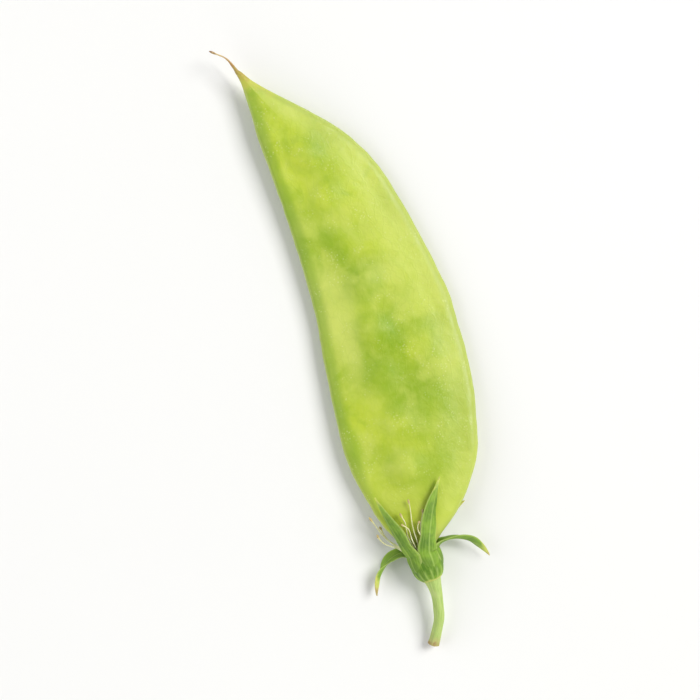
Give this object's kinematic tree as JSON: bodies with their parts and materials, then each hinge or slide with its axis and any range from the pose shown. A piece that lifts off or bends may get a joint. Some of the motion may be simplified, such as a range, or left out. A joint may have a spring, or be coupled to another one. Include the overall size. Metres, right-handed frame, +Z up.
{
  "type": "snow pea pod",
  "caption": "Flat green snow pea pod as picked, with calyx, sepals, stalk stub, withered stamens and dried style, lying on its broad side.",
  "frame": {"origin": "on the surface that the pod lies on, under the middle of the whole object", "axes": "+X from the stalk to the beak, +Y towards the ventral suture, +Z up through the pod's flat sides"},
  "size_m": [0.112, 0.0304, 0.007],
  "materials": {
    "pod_skin": "satin",
    "calyx_green": "matte",
    "stalk_green": "matte",
    "withered_thread": "matte",
    "dried_style": "matte"
  },
  "bodies": {
    "root": {"pod": "pod_skin", "calyx_cup": "calyx_green", "sepal_upper_left": "calyx_green", "sepal_side_left": "calyx_green", "sepal_lower": "calyx_green", "sepal_side_right": "calyx_green", "sepal_upper_right": "calyx_green", "pedicel": "stalk_green", "stamen_sheath": "withered_thread", "free_stamen": "withered_thread", "style_tip": "dried_style"}
  },
  "joints": []
}
